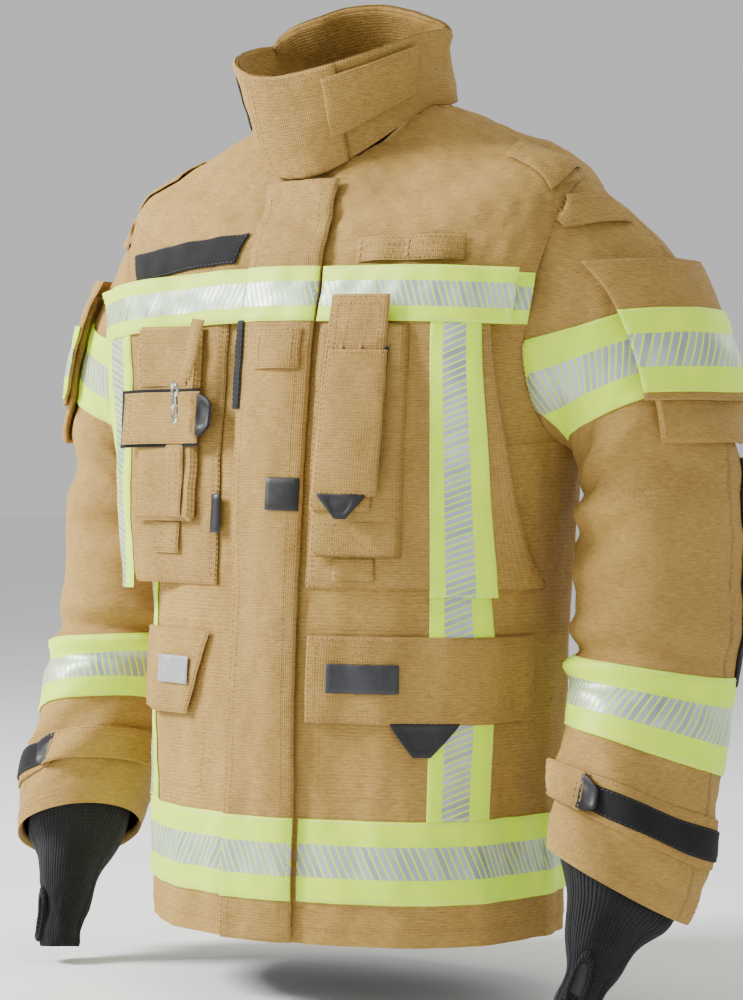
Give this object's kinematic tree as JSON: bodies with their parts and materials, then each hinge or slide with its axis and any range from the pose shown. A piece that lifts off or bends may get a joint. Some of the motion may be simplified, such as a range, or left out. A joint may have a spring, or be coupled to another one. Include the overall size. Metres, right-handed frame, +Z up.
{
  "type": "turnout coat",
  "caption": "Firefighter's turnout coat in tan cloth with yellow and silver trim, storm flap, radio pocket, sleeve pockets and knitted wristlets.",
  "frame": {"origin": "middle of the hanger loop inside the back of the collar", "axes": "+Z up, the front faces -Y, +X towards the wearer's left"},
  "size_m": [0.7988, 0.3433, 0.9231],
  "materials": {
    "shell_cloth": "matte woven",
    "reflective_trim": "satin with silver strip",
    "hook_and_loop": "fuzzy",
    "knit": "ribbed knit",
    "lining_cloth": "satin",
    "rubber": "matte",
    "label": "satin",
    "bright_metal": "polished"
  },
  "bodies": {
    "coat": {"front_left": "shell_cloth", "front_right": "shell_cloth", "back": "shell_cloth", "lining_left": "lining_cloth", "lining_right": "lining_cloth", "lining_back": "lining_cloth", "collar": "shell_cloth", "collar_overlap": "shell_cloth", "hanger_loop": "shell_cloth", "zip_tape_left": "lining_cloth", "zip_tape_right": "lining_cloth", "zip_teeth": "bright_metal", "chest_band_left": "reflective_trim", "front_trim_left": "reflective_trim", "chest_band_right": "reflective_trim", "front_trim_right": "reflective_trim", "hem_band": "reflective_trim", "name_panel": "hook_and_loop", "microphone_loop": "shell_cloth", "chest_pocket_left": "shell_cloth", "chest_pocket_right": "shell_cloth", "radio_pocket": "shell_cloth", "torch_holder": "shell_cloth", "torch_strap": "shell_cloth", "hook_webbing": "shell_cloth", "shoulder_tab_left": "shell_cloth", "lower_pocket_left": "lining_cloth", "shoulder_tab_right": "shell_cloth", "lower_pocket_right": "lining_cloth"},
    "storm_flap": {"storm_flap": "shell_cloth", "storm_flap_loop": "shell_cloth", "chest_band_flap": "reflective_trim", "hem_band_flap": "reflective_trim"},
    "throat_tab": {"throat_tab": "shell_cloth"},
    "radio_flap": {"radio_flap": "shell_cloth", "radio_flap_pull": "rubber"},
    "lower_flap_left": {"lower_flap_left": "shell_cloth", "label_left": "label", "lower_flap_pull": "rubber"},
    "lower_flap_right": {"lower_flap_right": "shell_cloth", "label_right": "label"},
    "zip_slider": {"zip_slider": "bright_metal"},
    "snap_hook": {"snap_hook": "bright_metal"},
    "snap_gate": {"snap_gate": "bright_metal"},
    "sleeve_upper_left": {"sleeve_upper_left": "shell_cloth", "arm_band_left": "reflective_trim", "sleeve_pocket_left": "shell_cloth"},
    "sleeve_lower_left": {"sleeve_lower_left": "shell_cloth", "forearm_band_left": "reflective_trim", "wristlet_left": "knit"},
    "sleeve_flap_left": {"sleeve_flap_left": "shell_cloth"},
    "cuff_strap_left": {"cuff_strap_left": "shell_cloth"},
    "sleeve_upper_right": {"sleeve_upper_right": "shell_cloth", "arm_band_right": "reflective_trim", "sleeve_pocket_right": "shell_cloth"},
    "sleeve_lower_right": {"sleeve_lower_right": "shell_cloth", "forearm_band_right": "reflective_trim", "wristlet_right": "knit"},
    "sleeve_flap_right": {"sleeve_flap_right": "shell_cloth"},
    "cuff_strap_right": {"cuff_strap_right": "shell_cloth"}
  },
  "joints": [
    {"name": "storm_flap_hinge", "type": "hinge", "parent": "coat", "child": "storm_flap", "pos_m": [0.047, -0.20175, -0.453], "axis": [0, 0.1138, 0.9935], "range_deg": [0, 75]},
    {"name": "throat_tab_hinge", "type": "hinge", "parent": "coat", "child": "throat_tab", "pos_m": [0.04708, -0.15134, -0.03892], "axis": [-0.0441, 0.312, -0.9491], "range_deg": [0, 110]},
    {"name": "radio_flap_hinge", "type": "hinge", "parent": "coat", "child": "radio_flap", "pos_m": [0.14612, -0.18019, -0.23294], "axis": [-0.9062, -0.4229, 0], "range_deg": [0, 95]},
    {"name": "lower_flap_left_hinge", "type": "hinge", "parent": "coat", "child": "lower_flap_left", "pos_m": [0.19631, -0.1249, -0.52359], "axis": [-0.6058, -0.7956, 0], "range_deg": [0, 30]},
    {"name": "lower_flap_right_hinge", "type": "hinge", "parent": "coat", "child": "lower_flap_right", "pos_m": [-0.19631, -0.1249, -0.52359], "axis": [-0.6058, 0.7956, 0], "range_deg": [0, 30]},
    {"name": "zip_slide", "type": "slide", "parent": "coat", "child": "zip_slider", "axis": [0, -0.2349, -0.972], "range_m": [0, 0.08]},
    {"name": "snap_hook_swivel", "type": "hinge", "parent": "coat", "child": "snap_hook", "pos_m": [-0.08949, -0.20218, -0.3089], "axis": [0, 0, 1], "range_deg": [-60, 60]},
    {"name": "snap_gate_hinge", "type": "hinge", "parent": "snap_hook", "child": "snap_gate", "pos_m": [-0.08535, -0.20418, -0.31213], "axis": [0.435, 0.9004, 0], "range_deg": [0, 25], "stiffness_Nm_per_rad": 0.001, "springref_deg": -28.65},
    {"name": "shoulder_left", "type": "hinge", "parent": "coat", "child": "sleeve_upper_left", "pos_m": [0.257, -0.018, -0.099], "axis": [0, -1, 0], "range_deg": [0, 25]},
    {"name": "elbow_left", "type": "hinge", "parent": "sleeve_upper_left", "child": "sleeve_lower_left", "pos_m": [0.316, -0.086, -0.512], "axis": [-1, 0, 0], "range_deg": [0, 70]},
    {"name": "sleeve_flap_left_hinge", "type": "hinge", "parent": "sleeve_upper_left", "child": "sleeve_flap_left", "pos_m": [0.31366, 0.00556, -0.17177], "axis": [0.0499, -0.9988, 0], "range_deg": [0, 75]},
    {"name": "cuff_strap_left_hinge", "type": "hinge", "parent": "sleeve_lower_left", "child": "cuff_strap_left", "pos_m": [0.24978, -0.05076, -0.64547], "axis": [-0.0608, -0.3927, -0.9177], "range_deg": [0, 50]},
    {"name": "shoulder_right", "type": "hinge", "parent": "coat", "child": "sleeve_upper_right", "pos_m": [-0.257, -0.018, -0.099], "axis": [0, 1, 0], "range_deg": [0, 25]},
    {"name": "elbow_right", "type": "hinge", "parent": "sleeve_upper_right", "child": "sleeve_lower_right", "pos_m": [-0.316, -0.086, -0.512], "axis": [-1, 0, 0], "range_deg": [0, 70]},
    {"name": "sleeve_flap_right_hinge", "type": "hinge", "parent": "sleeve_upper_right", "child": "sleeve_flap_right", "pos_m": [-0.31366, 0.00556, -0.17177], "axis": [0.0499, 0.9988, 0], "range_deg": [0, 75]},
    {"name": "cuff_strap_right_hinge", "type": "hinge", "parent": "sleeve_lower_right", "child": "cuff_strap_right", "pos_m": [-0.24978, -0.05076, -0.64547], "axis": [-0.0608, 0.3927, 0.9177], "range_deg": [0, 50]}
  ]
}
